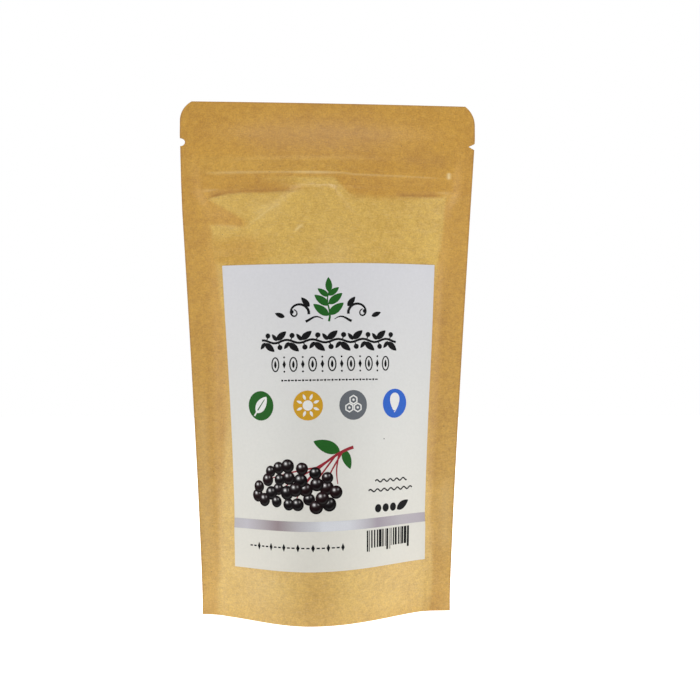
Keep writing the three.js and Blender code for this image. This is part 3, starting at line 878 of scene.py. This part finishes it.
def makeGusset():
    columns = stations(*gusset["columns"])
    linesY, linesZ = gussetSections(columns)
    piece, column, row = addBlank("kraft_gusset_fold", len(columns), len(linesY))
    u, y, z = columns[column], linesY[row, column], linesZ[row, column]
    setCoords(piece, u * (halfWidth(z) - gusset["edgeIn"]), y, z, mm)
    setUv(piece, (u + 1) / 2, row / len(linesY) / 2)
    thicken(piece, gusset["paper"], 0, kraftGusset, cutEdge)
    shadeSmooth()
    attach(piece, "root")
    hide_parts("bottom_gusset")
    print("gusset folded with", len(piece.data.polygons), "faces")


makeGusset()

# Label: coated white paper, with painted light and shade: warmer and lighter at the foot, cooler and greyer
# at the head
labelLook = {
    "tones": ((0.0, (0.795, 0.775, 0.70)), (0.5, (0.758, 0.758, 0.727)), (1.0, (0.73, 0.73, 0.765))),
    "span": (0.022, 0.149),                     # heights in metres between which the tones run
    "grain": 900, "grainDepth": 0.04, "roughness": (0.36, 0.48), "bump": (0.25, 0.00002),
}


def makeLabelSkin():
    material, tree, shader = newMaterial("label paper", Specular_IOR_Level=0.45)
    place = objectPlace(tree)
    up = node(tree, "SeparateXYZ", {"Vector": place}).outputs[2]
    paintedLightGround = ramp(tree, between(tree, up, 0.0, 1.0, *labelLook["span"]), labelLook["tones"])
    grain = grainAt(tree, place, labelLook["grain"], 4.0, 0.6)
    feed(tree, shader, Base_Color=speckle(tree, paintedLightGround, grain, 1 - labelLook["grainDepth"]),
         Roughness=between(tree, grain, *labelLook["roughness"]))
    addBump(tree, shader, grain, *labelLook["bump"])
    return material


def makeLabel():
    piece, column, row = addBlank("label_sheet", label["columns"], label["rows"])
    across = (column / (label["columns"] - 1) - 0.5) * label["width"]
    up = row / (label["rows"] - 1) * label["height"]
    setCoords(piece, *onLabel(across, up, label["lift"] + label["paper"]), mm)
    thicken(piece, label["paper"], -1, makeLabelSkin())
    shadeSmooth()
    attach(piece, "root")
    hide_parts("front_label")
    print("label laid with", len(piece.data.polygons), "faces")


makeLabel()

# Print: flat stamps in the label's own millimetres, cut into strips and laid on the label
inkSheet = {"lift": 0.673, "paper": 0.012, "stripAcross": 1.25, "stripUp": 2.5, "stripShift": 0.0137}
stampCorners = {"disc": 28, "leaf": 24, "drop": 24, "lozenge": 4, "bar": 4}
leafPoint, leafLean = 0.55, 0.22        # how a leaf runs out at its ends, and how much fuller its foot is
inkGrain = 1500


stamps = []         # made and not yet printed


# Every stamp starts as a round primitive, whose rim is drawn out to the shape asked for; it turns by degrees
def addStamp(kind, place, size, turn=0):
    bpy.ops.mesh.primitive_circle_add(vertices=stampCorners[kind], radius=1, fill_type="NGON")
    stamp = bpy.context.object
    x, y, z = coordsOf(stamp).T
    angle = np.arctan2(y, x)
    if kind == "bar":
        corner = angle + np.pi / 4
        x, y = np.sign(np.round(np.cos(corner), 3)), np.sign(np.round(np.sin(corner), 3))
    if kind == "leaf":
        y = y * np.abs(np.sin(angle)) ** leafPoint * (1 - leafLean * np.cos(angle))
    if kind == "drop":
        y = y * np.sqrt(np.clip((1 - np.cos(angle)) / 2, 0, 1))
    x, y = x * size[0] / 2, y * size[1] / 2
    cosT, sinT = cos(radians(turn)), sin(radians(turn))
    setCoords(stamp, x * cosT - y * sinT + place[0], x * sinT + y * cosT + place[1], z * 0)
    stamps.append(stamp)


# A stroke follows points with a width at each, or with one width all along
def addStroke(points, widths):
    stroke, column, row = addBlank("stroke", len(points), 2)
    points = np.array(points, float).T
    across, up = np.gradient(points, axis=1)
    aside = (row - 0.5) * (np.zeros(len(across)) + widths)[column]
    length = np.hypot(across, up)
    x, y = points[:, column] + np.stack([-up / length, across / length])[:, column] * aside
    setCoords(stroke, x, y, row * 0)
    stamps.append(stroke)


def tapered(width, change, count):
    return [width + change * k for k in range(count)]


def oval(x, y, halfWide, halfHigh, angles):
    turns = [radians(angle) for angle in angles]
    return [(x + halfWide * cos(turn), y + halfHigh * sin(turn)) for turn in turns]


def joinStamps(name):
    selectOnly(stamps[0])
    for stamp in stamps[1:]:
        stamp.select_set(True)
    if len(stamps) > 1:
        bpy.ops.object.join()
    stamps.clear()
    return namePiece(name)


# Cuts a flat print at even steps both ways, so that it bends with the label
def cutIntoStrips(piece):
    co = coordsOf(piece)
    low, high = co.min(0), co.max(0)
    selectOnly(piece)
    bpy.ops.object.mode_set(mode="EDIT")
    for axis, step in ((0, inkSheet["stripAcross"]), (1, inkSheet["stripUp"])):
        normal = (1, 0, 0) if axis == 0 else (0, 1, 0)
        for k in range(ceil(low[axis] / step), ceil(high[axis] / step)):
            place = [0, 0, 0]
            place[axis] = k * step + inkSheet["stripShift"]
            bpy.ops.mesh.select_all(action="SELECT")
            bpy.ops.mesh.bisect(plane_co=place, plane_no=normal, threshold=1e-5)
    bpy.ops.object.mode_set(mode="OBJECT")


# The ink lies on the label; a layer, and any height in the flat stamps, sets it above other prints
def layInk(piece, material, layer=0.0):
    across, up, height = coordsOf(piece).T
    setCoords(piece, *onLabel(across, up, height + inkSheet["lift"] + layer), mm)
    thicken(piece, inkSheet["paper"], 1, material)
    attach(piece, "root")
    print(piece.name, "printed with", len(piece.data.polygons), "faces")


def printStamps(name, material, layer=0.0):
    piece = joinStamps(name)
    cutIntoStrips(piece)
    layInk(piece, material, layer)


inkLooks = {        # color, roughness, spread of tone, specular level
    "black": ((0.006, 0.006, 0.007), 0.55, 0.12, 0.12),
    "green": ((0.013, 0.112, 0.012), 0.5, 0.12, 0.2),
    "amber": ((0.62, 0.33, 0.010), 0.42, 0.06, 0.4),
    "grey": ((0.125, 0.138, 0.155), 0.42, 0.06, 0.4),
    "blue": ((0.005, 0.11, 0.58), 0.42, 0.06, 0.4),
    "white": ((0.82, 0.82, 0.80), 0.42, 0.02, 0.4),
    "crimson": ((0.30, 0.008, 0.022), 0.42, 0.12, 0.4),
}
inks = {}
for name, (color, roughness, spread, specular) in inkLooks.items():
    inks[name] = makeGrained(name + " ink", color, roughness, inkGrain, spread, Specular_IOR_Level=specular)

# A leafy sprig between two scrolls; places count from the sprig's foot
sprigForm = {
    "foot": (-1.0, 102.0), "stemRise": 1.9, "stemSway": 0.5, "stemWidth": (0.9, -0.08, 8),
    "leafSize": (8.0, 3.4), "leafTurn": 52, "tip": ((0.2, 15.6), (6.4, 2.8), 92),
    "leaves": ((2.5, -1, 1), (2.9, 1, 1), (6.8, -1, 0.92), (7.4, 1, 0.92), (10.6, -1, 0.7), (11, 1, 0.7)),
}
scrollForm = {
    "curlAt": (15.2, 4.4), "curlTurn": (200, -230), "curlRadius": (3.7, 1.1), "curlDrift": 3.5,
    "curlWidth": (1.15, -0.03, 25),
    "tailAt": (2.4, 1.0), "tailStep": 1.2, "tailWave": (1.1, 0.7), "tailWidth": (0.3, 0.14, 7),
    "leaves": ((9.6, 8.4, (5.2, 2.3), 40), (20.6, 3.0, (4.6, 2.0), 68)), "dot": (15.4, 4.3, (1.7, 1.7)),
}


def sprig():
    form = sprigForm
    x, y = form["foot"]
    widths = tapered(*form["stemWidth"])
    stem = [(x + form["stemSway"] * sin(k), y + form["stemRise"] * k) for k in range(len(widths))]
    addStroke(stem, widths)
    length, width = form["leafSize"]
    for rise, side, size in form["leaves"]:
        turn = 90 - side * form["leafTurn"]
        place = oval(x, y + rise, length * size / 2, length * size / 2, [turn])[0]
        addStamp("leaf", place, (length * size, width * size), turn)
    (tipX, tipY), size, turn = form["tip"]
    addStamp("leaf", (x + tipX, y + tipY), size, turn)


def scrolls():
    x, y = sprigForm["foot"]
    form = scrollForm
    curlX, curlY = form["curlAt"]
    tailX, tailY = form["tailAt"]
    high, pace = form["tailWave"]
    curlWidths, tailWidths = tapered(*form["curlWidth"]), tapered(*form["tailWidth"])
    for side in (-1, 1):
        curl = []
        for k in range(len(curlWidths)):
            share = k / (len(curlWidths) - 1)
            angle = radians(mix(*form["curlTurn"], share))
            radius = mix(*form["curlRadius"], share)
            out = curlX + radius * cos(angle) - form["curlDrift"] * (1 - share)
            curl.append((x + side * out, y + curlY + radius * sin(angle)))
        tail = [(x + side * (tailX + form["tailStep"] * k), y + tailY + high * sin(k * pace))
                for k in range(len(tailWidths))]
        addStroke(tail, tailWidths)
        addStroke(curl, curlWidths)
        for out, up, size, lean in form["leaves"]:
            addStamp("leaf", (x + side * out, y + up), size, 90 - side * lean)
        out, up, size = form["dot"]
        addStamp("disc", (x + side * out, y + up), size)


# A wavy vine with leaves and berries to both sides in turn; places count from each turn of the vine
friezeForm = {
    "from": -30, "to": 29, "height": 93.8, "step": 5.36, "points": 45, "wave": 0.7, "width": 0.95,
    "stamps": (("leaf", 0.9, 2.45, (5.6, 2.7), 40), ("leaf", -2.2, 1.75, (3.6, 1.7), 128),
               ("disc", 0.2, -2.5, (2.2, 2.2), 0)),
    "stalk": ((-0.6, 0.2), (-0.1, 1.2), (0.1, 2.2)), "stalkWidth": (0.5, -0.05, 3),
}


def frieze():
    form = friezeForm
    start, end, y, step = (form[key] for key in ("from", "to", "height", "step"))
    across = [mix(start, end, k / form["points"]) for k in range(form["points"] + 1)]
    vine = [(x, y + form["wave"] * sin(x * pi / step)) for x in across]
    addStroke(vine, form["width"])
    for k in range(int((end - start) / step)):
        x = start + (k + 0.5) * step
        up = 1 if k % 2 else -1
        for kind, out, rise, size, turn in form["stamps"]:
            addStamp(kind, (x + out, y + up * rise), size, up * turn)
        addStroke([(x + out, y - up * rise) for out, rise in form["stalk"]], tapered(*form["stalkWidth"]))


# A thin row of ovals and lozenges in turn, and a fine rule of dots and dashes below it
thinForm = {
    "from": -24, "step": 4, "count": 13, "height": 84.1, "oval": (1.55, 2.9), "line": 0.55,
    "seed": (3.2, 1.1), "lozenge": (1.5, 3.6), "dot": (0.8, 0.8), "dotOffs": (3.0, -3.0),
    "ruleFrom": -21.0, "ruleStep": 3.0, "ruleCount": 14, "ruleHeight": 77.4, "ruleDot": (0.9, 0.9),
    "dash": (1.3, 0.5), "dashOff": 1.5,
}


def thinRow():
    form = thinForm
    y = form["height"]
    for k in range(form["count"]):
        x = form["from"] + k * form["step"]
        if k % 2 == 0:
            addStroke(oval(x, y, *form["oval"], range(0, 361, 20)), form["line"])
            addStamp("leaf", (x, y), form["seed"], 90)
        else:
            addStamp("lozenge", (x, y), form["lozenge"])
            for off in form["dotOffs"]:
                addStamp("disc", (x, y + off), form["dot"])
    for k in range(form["ruleCount"]):
        x = form["ruleFrom"] + k * form["ruleStep"]
        addStamp("disc", (x, form["ruleHeight"]), form["ruleDot"])
        addStamp("bar", (x + form["dashOff"], form["ruleHeight"]), form["dash"])


sprig()
printStamps("print_sprig", inks["green"])
for name, draw in (("print_scrolls", scrolls), ("print_frieze", frieze), ("print_thin_row", thinRow)):
    draw()
    printStamps(name, inks["black"])

# Four round badges: a leaf, a sun wheel, three hexagons and a drop. Motifs count from each badge's centre
badges = {
    "size": (12.3, 12.3), "motifLayer": 0.014, "topLayer": 0.028,
    "places": {"green": (-31.4, 67.0), "amber": (-10.2, 67.0), "grey": (8.8, 66.9), "blue": (28.9, 67.2)},
    "leaf": ((0.3, 0.4), (8.4, 4.6), 52), "leafStalk": ((-3.3, -4.2), (-2.6, -3.2), (-1.8, -2.2)),
    "leafVein": ((-1.6, -1.9), (0.2, 0.4), (1.9, 2.6)),
    "sun": (4.2, 4.2), "ray": (2.5, 1.1), "rayAt": 3.75, "rays": 8, "rayTurn": 22.5,
    "cell": 1.75, "cellAt": 2.15, "cellLine": 0.6, "cellDot": (1.0, 1.0),
    "drop": ((0, 0.3), (8.4, 6.4), -90), "shineAt": -1.1, "shine": 2.1,
}


def fromBadge(name, points):
    x, y = badges["places"][name]
    return [(x + across, y + up) for across, up in points]


def badgeMotifs():
    place, size, turn = badges["leaf"]
    addStamp("leaf", *fromBadge("green", [place]), size, turn)
    addStroke(fromBadge("green", badges["leafStalk"]), (0.7, 0.7, 0.6))
    addStamp("disc", badges["places"]["amber"], badges["sun"])
    for k in range(badges["rays"]):
        turn = 360 / badges["rays"] * k + badges["rayTurn"]
        place = oval(*badges["places"]["amber"], badges["rayAt"], badges["rayAt"], [turn])[0]
        addStamp("leaf", place, badges["ray"], turn)
    for x, y in oval(*badges["places"]["grey"], badges["cellAt"], badges["cellAt"], (90, 210, 330)):
        addStroke(oval(x, y, badges["cell"], badges["cell"], range(30, 391, 60)), badges["cellLine"])
        addStamp("disc", (x, y), badges["cellDot"])
    place, size, turn = badges["drop"]
    addStamp("drop", *fromBadge("blue", [place]), size, turn)


def dropShine():
    x, y = badges["places"]["blue"]
    line = oval(x, y + badges["shineAt"], badges["shine"], badges["shine"], range(200, 281, 10))
    addStroke(line, (0.2, 0.35, 0.5, 0.55, 0.55, 0.5, 0.4, 0.3, 0.2))


for ink, place in badges["places"].items():
    addStamp("disc", place, badges["size"])
    printStamps("print_badge_" + ink, inks[ink])
badgeMotifs()
printStamps("print_badge_motifs", inks["white"], badges["motifLayer"])
dropShine()
printStamps("print_badge_drop_shine", inks["blue"], badges["topLayer"])
addStroke(fromBadge("green", badges["leafVein"]), (0.5, 0.45, 0.25))
printStamps("print_badge_leaf_vein", inks["green"], badges["topLayer"])

# Beside and below the bunch: wavy rules, dots and a leaf, a broken rule, and bars that code nothing
notes = {
    "waves": ((35.2, 19, 36.4), (31.4, 15.6, 39.4)), "waveStep": 0.6, "wave": (0.55, 1.05), "waveWidth": 0.6,
    "dotFrom": (20.6, 23.9), "dotStep": 4.1, "dot": (3.4, 3.4), "leaf": ((34.2, 24.4), (7.2, 3.3), 28),
    "ruleFrom": (-37.6, 9.5), "ruleStep": 2.05, "ruleCount": 21,
    "ruleLozenge": (1.5, 3.2), "ruleDash": (1.3, 0.55),
    "seed": 23, "module": 0.37, "bars": (1, 1, 2, 2, 3, 4), "gaps": (1, 1, 1, 2, 2), "guards": (0, 1, 8, 9),
    "barFrom": 14.6, "barTo": 37, "barTop": 15.2, "barFoot": 8, "guardFrom": 35.2, "guardFoot": 6.6,
    "speck": ((23.5, 52.5), (0.5, 0.5)),
}


def wavyRules():
    high, pace = notes["wave"]
    for y, start, end in notes["waves"]:
        count = int((end - start) / notes["waveStep"])
        line = [(mix(start, end, k / count), y + high * sin(k * pace)) for k in range(count + 1)]
        addStroke(line, notes["waveWidth"])
    x, y = notes["dotFrom"]
    for k in range(3):
        addStamp("disc", (x + notes["dotStep"] * k, y), notes["dot"])
    addStamp("leaf", *notes["leaf"])


def brokenRule():
    x, y = notes["ruleFrom"]
    for k in range(notes["ruleCount"]):
        kind, size = ("lozenge", notes["ruleLozenge"]) if k % 3 == 2 else ("bar", notes["ruleDash"])
        addStamp(kind, (x + notes["ruleStep"] * k, y), size)


def plainBars():
    draw = random.Random(notes["seed"])
    x, top = notes["barFrom"], notes["barTop"]
    count = 0
    while x < notes["barTo"]:
        width = notes["module"] * draw.choice(notes["bars"])
        gap = notes["module"] * draw.choice(notes["gaps"])
        guard = count in notes["guards"] or x > notes["guardFrom"]
        foot = notes["guardFoot"] if guard else notes["barFoot"]
        addStamp("bar", (x + width / 2, (top + foot) / 2), (width, top - foot))
        x += width + gap
        count += 1


wavyRules()
brokenRule()
plainBars()
addStamp("disc", *notes["speck"])
printStamps("print_rules_and_bars", inks["black"])

# Silver stripe: its tone runs light and dark across the label, painted reflections on the metal
stripe = {
    "middle": 18.1, "size": (93.9, 4.0), "span": (-50, 50),
    "tones": ((-46, (0.44, 0.42, 0.44)), (-34, (0.53, 0.51, 0.55)), (-21, (0.30, 0.24, 0.25)),
              (-13, (0.52, 0.50, 0.53)), (-3, (0.78, 0.80, 0.85)), (8, (0.68, 0.69, 0.73)),
              (20, (0.34, 0.30, 0.34)), (31, (0.43, 0.40, 0.43)), (46, (0.45, 0.40, 0.45))),
}


def makeSilver():
    material, tree, shader = newMaterial("silver ink", Metallic=0.35, Roughness=0.34, Specular_IOR_Level=0.5)
    place = objectPlace(tree)
    low, high = stripe["span"]
    across = node(tree, "SeparateXYZ", {"Vector": place}).outputs[0]
    share = between(tree, across, 0.0, 1.0, low * mm, high * mm)
    color = ramp(tree, share, [((x - low) / (high - low), tone) for x, tone in stripe["tones"]])
    feed(tree, shader, Base_Color=speckle(tree, color, grainAt(tree, place, 4000, 2.0), 0.9))
    return material


addStamp("bar", (0, stripe["middle"]), stripe["size"])
printStamps("print_silver_stripe", makeSilver())

# Printed sprig of dark berries: shaded discs in layers, over crimson stalks and green leaves
bunch = {
    "seed": 41, "centre": (-16.5, 34.4), "reach": (17.8, 8.8), "sag": 0.012, "count": 38, "tries": 6000,
    "spacing": 3.75, "flatter": 1.05, "radius": (2.35, 2.95), "rings": 9, "around": 32, "ringPower": 0.9,
    "layer": 0.006, "firstLayer": 0.006, "stalkLayer": 0.004,
    "trunk": (8.5, 49.6), "trunkStep": -1.55, "trunkFall": (0.055, 0.35), "trunkWidth": (1.35, -0.055, 15),
    "twigWidth": (0.75, -0.05, 9),          # twigs: the trunk's point, the end's place, and how far they bow
    "twigs": ((3, (-4, 32), -2), (5, (-12, 29), -1), (7, (-24, 32), 2), (9, (-31, 36), 2),
              (11, (-16, 28), -1), (4, (1.5, 35), -1)),
    "leaves": (((-2.8, 50.2), (11.5, 5.2), 158), ((5.6, 44.8), (8.5, 3.8), -70)),
}


def berryInk():
    material, tree, shader = newMaterial("picture ink", Roughness=0.5, Specular_IOR_Level=0.05)
    tone = node(tree, "VertexColor", layer_name="tone").outputs["Color"]
    feed(tree, shader, Base_Color=speckle(tree, tone, grainAt(tree, objectPlace(tree), 3000, 2.0), 0.86))
    return material


# Spots of light on a berry of radius 1: where, how wide and high, and how bright
berryLights = (((-0.30, 0.36), (0.17, 0.18), 1.0), ((0.32, 0.42), (0.11, 0.12), 0.40),
               ((-0.1, 0.3), (0.45, 0.3), 0.035))
berrySkin = {
    "dark": 0.002, "lit": 0.009, "tint": (1.0, 0.55, 0.75), "warmth": 1.1,
    "crescent": (0.05, 0.68, 0.12), "rim": 0.012,       # the crescent's brightness, ring and softness
}


# A printed berry's tone: dark skin, a window of light above left and a soft glow low on the right
def berryTone(dx, dy, warm):
    depth = np.sqrt(np.clip(1 - dx * dx - dy * dy, 0, 1))
    red, green, blue = berrySkin["tint"]
    lit = berrySkin["dark"] + berrySkin["lit"] * np.clip(0.5 * dy - 0.35 * dx + 0.5 * depth, 0, 1)
    skin = np.outer(lit, (red + berrySkin["warmth"] * warm, green, blue))
    glow = sum(bright * hump(dx, x, wide) * hump(dy, y, high) for (x, y), (wide, high), bright in berryLights)
    away = np.hypot(dx, dy)
    bright, ring, soft = berrySkin["crescent"]
    glow += bright * hump(away, ring, soft) * np.clip(-dy + 0.35 * dx - 0.1, 0, 1)
    glow += berrySkin["rim"] * np.clip((away - 0.9) / 0.1, 0, 1)
    return np.clip(skin + glow[:, None], 0, 1)


def berryPlaces():
    draw = random.Random(bunch["seed"])
    (cx, cy), (rx, ry) = bunch["centre"], bunch["reach"]
    places = []
    for _ in range(bunch["tries"]):
        angle, share = draw.uniform(0, 2 * pi), sqrt(draw.random())
        out = rx * share * cos(angle)
        x, y = cx + out, cy + ry * share * sin(angle) - bunch["sag"] * out ** 2
        gaps = [hypot(x - px, (y - py) * bunch["flatter"]) for px, py, _ in places]
        if min(gaps, default=bunch["spacing"] + 1) > bunch["spacing"]:
            places.append((x, y, draw.uniform(*bunch["radius"])))
        if len(places) >= bunch["count"]:
            break
    draw.shuffle(places)
    return places


# A berry lies one layer above the highest that it overlaps
def berryLayers(places):
    layers = []
    for x, y, radius in places:
        laid = zip(places, layers)
        below = [layer for (px, py, pr), layer in laid if hypot(x - px, y - py) < radius + pr]
        layers.append(max(below, default=0) + 1)
    return layers


def addBerry(x, y, radius, layer, warm):
    disc, column, row = addBlank("berry", bunch["around"] + 1, bunch["rings"] + 1)
    turn = column / bunch["around"] * 2 * np.pi
    far = radius * (row / bunch["rings"]) ** bunch["ringPower"]
    setCoords(disc, x + np.cos(turn) * far, y + np.sin(turn) * far, far * 0 + layer * bunch["layer"])
    selectOnly(disc)
    bpy.ops.object.mode_set(mode="EDIT")
    bpy.ops.mesh.select_all(action="SELECT")
    bpy.ops.mesh.remove_doubles(threshold=1e-4)
    bpy.ops.mesh.normals_make_consistent(inside=False)
    bpy.ops.object.mode_set(mode="OBJECT")
    if disc.data.polygons[0].normal.z < 0:
        disc.data.flip_normals()
    co = coordsOf(disc)
    colors = np.ones((len(co), 4))
    colors[:, :3] = berryTone((co[:, 0] - x) / radius, (co[:, 1] - y) / radius, warm)
    tone = disc.data.color_attributes.new("tone", "FLOAT_COLOR", "POINT")
    tone.data.foreach_set("color", colors.astype(np.float32).ravel())
    stamps.append(disc)


def printBerries():
    places = berryPlaces()
    layers = berryLayers(places)
    for k, place in enumerate(places):
        addBerry(*place, layers[k], k % 3 / 2)
    layInk(joinStamps("print_berries"), berryInk(), bunch["firstLayer"])


def stalks():
    widths = tapered(*bunch["trunkWidth"])
    x, y = bunch["trunk"]
    curve, fall = bunch["trunkFall"]
    trunk = [(x + bunch["trunkStep"] * k, y - curve * k * k - fall * k) for k in range(len(widths))]
    addStroke(trunk, widths)
    widths = tapered(*bunch["twigWidth"])
    for start, (endX, endY), bend in bunch["twigs"]:
        x, y = trunk[start]
        twig = []
        for k in range(len(widths)):
            share = k / (len(widths) - 1)
            bow = bend * sin(share * pi)
            twig.append((mix(x, endX, share) + bow * 0.8, mix(y, endY, share) + bow * 0.5))
        addStroke(twig, widths)


for leaf in bunch["leaves"]:
    addStamp("leaf", *leaf)
printStamps("print_leaves", inks["green"])
stalks()
printStamps("print_stalks", inks["crimson"], bunch["stalkLayer"])
printBerries()
print("label printed")

# The zip strips and the berries keep their own solids
zipPlastic = makeGrained("zip plastic", (0.78, 0.77, 0.72), 0.35, 600, spread=0.03, Specular_IOR_Level=0.5)
driedSkin = makeGrained("dried berry skin", (0.018, 0.008, 0.020), 0.5, 1100, spread=0.4, bumpSize=0.0004,
                        Specular_IOR_Level=0.45)
solidLooks = {"zip_rib_strip": zipPlastic, "zip_groove_strip": zipPlastic, "dried_berries": driedSkin}
for name, material in solidLooks.items():
    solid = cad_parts[name]
    solid.data.materials.clear()
    solid.data.materials.append(material)

deselectAll()
